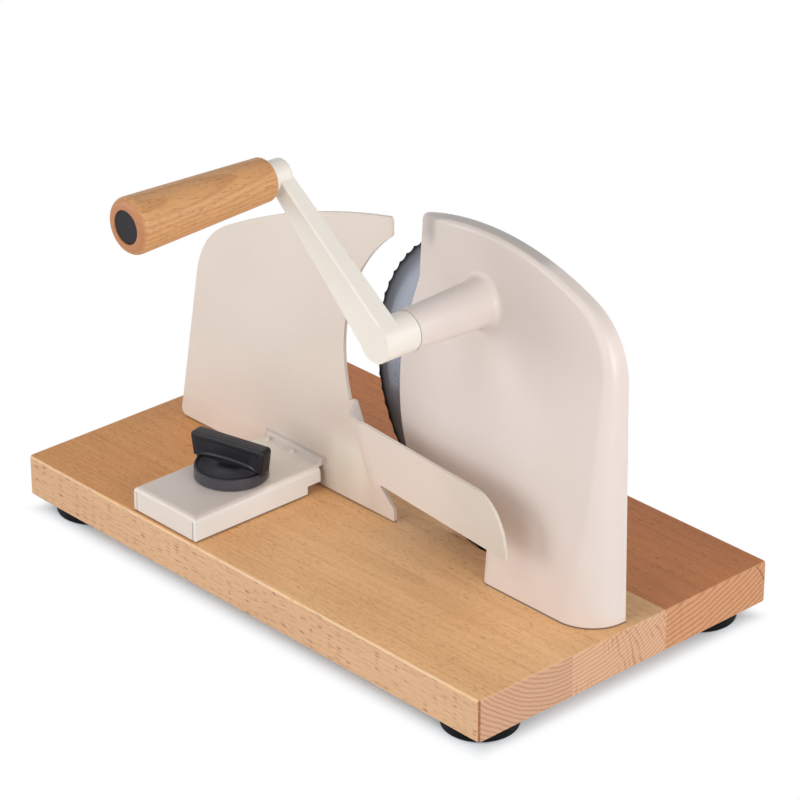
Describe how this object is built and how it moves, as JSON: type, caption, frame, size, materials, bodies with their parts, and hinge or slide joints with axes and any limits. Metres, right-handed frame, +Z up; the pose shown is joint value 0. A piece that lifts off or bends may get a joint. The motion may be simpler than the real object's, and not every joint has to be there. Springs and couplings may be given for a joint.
{
  "type": "hand-cranked bread slicer",
  "caption": "Hand-cranked bread slicer: beech board on rubber feet, cream cast housing with a serrated disc blade, crank with a beech grip and a sliding thickness gauge.",
  "frame": {"origin": "middle of the whole part's bounding box, on the plane that the rubber feet stand on", "axes": "+X along the board to the end with the housing, +Y from the crank's side to the back, +Z up"},
  "size_m": [0.36, 0.2774, 0.2633],
  "materials": {
    "board_beech": "oiled beech, long boards glued edge to edge",
    "grip_beech": "turned and oiled beech",
    "rubber": "matte black",
    "screw_steel": "zinc plated",
    "shaft_steel": "turned",
    "blade_steel": "ground and polished",
    "gear_steel": "machined",
    "bush_bronze": "sintered bronze",
    "nut_brass": "turned",
    "housing_cream": "satin cream enamel on a casting",
    "sheet_cream": "satin cream enamel on sheet",
    "crank_ivory": "satin ivory enamel",
    "knob_charcoal": "fine-grained",
    "cap_black": "fine-grained",
    "gear_plastic": "moulded",
    "block_plastic": "moulded"
  },
  "bodies": {
    "base": {"board_stave_front": "board_beech", "board_stave_middle": "board_beech", "board_stave_back": "board_beech", "rubber_feet": "rubber", "foot_screws": "screw_steel", "housing_shell": "housing_cream", "housing_screws": "screw_steel", "crank_bushes": "bush_bronze", "blade_axle": "shaft_steel", "retaining_washer": "screw_steel", "retaining_screw": "screw_steel", "thrust_washer": "screw_steel", "guide_block": "block_plastic", "block_screws": "screw_steel"},
    "blade_unit": {"blade": "blade_steel", "blade_gear": "gear_steel", "blade_screws": "screw_steel", "hub_bush": "bush_bronze"},
    "crank": {"crank_shaft": "shaft_steel", "crank_pinion": "gear_plastic", "shaft_clip": "screw_steel", "crank_arm": "crank_ivory", "crank_set_screw": "screw_steel", "handle_pin": "shaft_steel", "handle_washer": "screw_steel", "handle_screw": "screw_steel"},
    "grip": {"handle_grip": "grip_beech", "handle_sleeve": "block_plastic", "handle_cap": "cap_black"},
    "gauge": {"gauge_plate": "sheet_cream", "clamp_bolt": "screw_steel", "clamp_washer": "screw_steel"},
    "knob": {"clamp_knob": "knob_charcoal", "knob_nut": "nut_brass"}
  },
  "joints": [
    {"name": "blade_spin", "type": "hinge", "parent": "base", "child": "blade_unit", "pos_m": [0.077, 0.03369, 0.122], "axis": [0, 1, 0], "continuous": true},
    {"name": "crank_spin", "type": "hinge", "parent": "base", "child": "crank", "pos_m": [0.077, 0.03369, 0.183], "axis": [0, 1, 0], "continuous": true},
    {"name": "grip_spin", "type": "hinge", "parent": "crank", "child": "grip", "pos_m": [0.00054, -0.08631, 0.24853], "axis": [0, 1, 0], "continuous": true},
    {"name": "gauge_slide", "type": "slide", "parent": "base", "child": "gauge", "axis": [0, 1, 0], "range_m": [-0.003, 0.012]},
    {"name": "knob_turn", "type": "hinge", "parent": "gauge", "child": "knob", "pos_m": [-0.0641, -0.02171, 0.053], "axis": [0, 0, 1], "range_deg": [0, 180]}
  ],
  "couplings": [
    {"joint": "crank_spin", "follows": "blade_spin", "ratio": -2.05}
  ]
}
